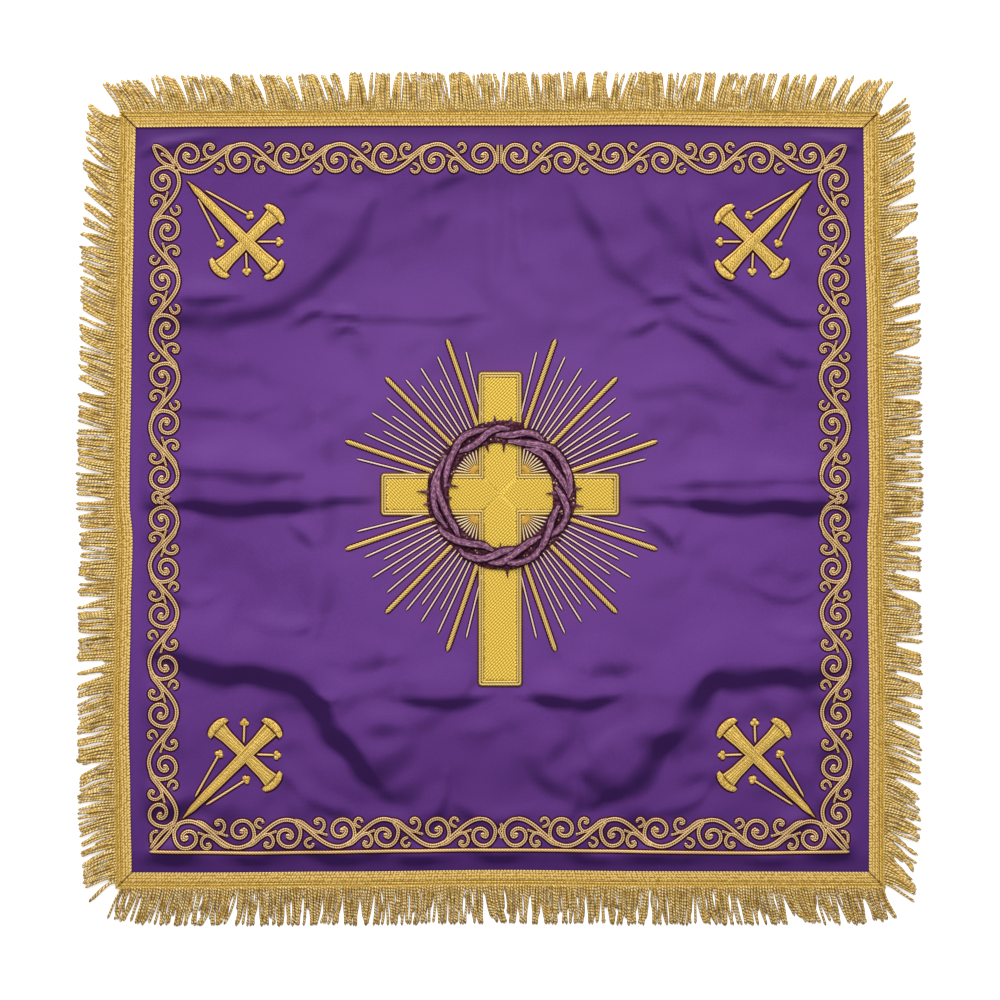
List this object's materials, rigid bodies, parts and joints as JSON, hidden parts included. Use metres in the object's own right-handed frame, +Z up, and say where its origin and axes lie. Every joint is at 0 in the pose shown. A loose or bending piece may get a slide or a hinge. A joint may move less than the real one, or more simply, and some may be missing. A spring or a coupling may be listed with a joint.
{
  "type": "chalice veil",
  "caption": "Square satin chalice veil laid flat, with braid, corded fringe, cross with crown of thorns and rays, crossed nails and a scroll border.",
  "frame": {"origin": "middle of the laid cloth, fringe included, on the surface it lies on", "axes": "+Z up out of the cloth's face, +Y towards the top of the cross, +X to the right of the cross"},
  "size_m": [0.6, 0.6056, 0.0059],
  "materials": {
    "satin": "purple satin weave with a soft sheen",
    "gold_braid": "woven gold metallic-thread braid",
    "gold_fringe": "twisted antique gold cord fringe",
    "gold_thread": "gold embroidery thread, couched and satin stitched",
    "mauve_thread": "mauve satin stitch with a dark outline"
  },
  "bodies": {
    "root": {"border_cord": "gold_thread", "braid_bottom": "gold_braid", "braid_left": "gold_braid", "braid_right": "gold_braid", "braid_top": "gold_braid", "cross": "gold_thread", "crown_of_thorns": "mauve_thread", "fringe_bottom": "gold_fringe", "fringe_left": "gold_fringe", "fringe_right": "gold_fringe", "fringe_top": "gold_fringe", "nails_bottom_left": "gold_thread", "nails_bottom_right": "gold_thread", "nails_top_left": "gold_thread", "nails_top_right": "gold_thread", "pin_bottom_left_1": "gold_thread", "pin_bottom_left_2": "gold_thread", "pin_bottom_left_3": "gold_thread", "pin_bottom_left_4": "gold_thread", "pin_bottom_right_1": "gold_thread", "pin_bottom_right_2": "gold_thread", "pin_bottom_right_3": "gold_thread", "pin_bottom_right_4": "gold_thread", "pin_top_left_1": "gold_thread", "pin_top_left_2": "gold_thread", "pin_top_left_3": "gold_thread", "pin_top_left_4": "gold_thread", "pin_top_right_1": "gold_thread", "pin_top_right_2": "gold_thread", "pin_top_right_3": "gold_thread", "pin_top_right_4": "gold_thread", "ray_01": "gold_thread", "ray_02": "gold_thread", "ray_03": "gold_thread", "ray_04": "gold_thread", "ray_05": "gold_thread", "ray_06": "gold_thread", "ray_07": "gold_thread", "ray_08": "gold_thread", "ray_09": "gold_thread", "ray_10": "gold_thread", "ray_11": "gold_thread", "ray_12": "gold_thread", "satin_panel": "satin", "scroll_bottom": "gold_thread", "scroll_left": "gold_thread", "scroll_right": "gold_thread", "scroll_top": "gold_thread"}
  },
  "joints": []
}
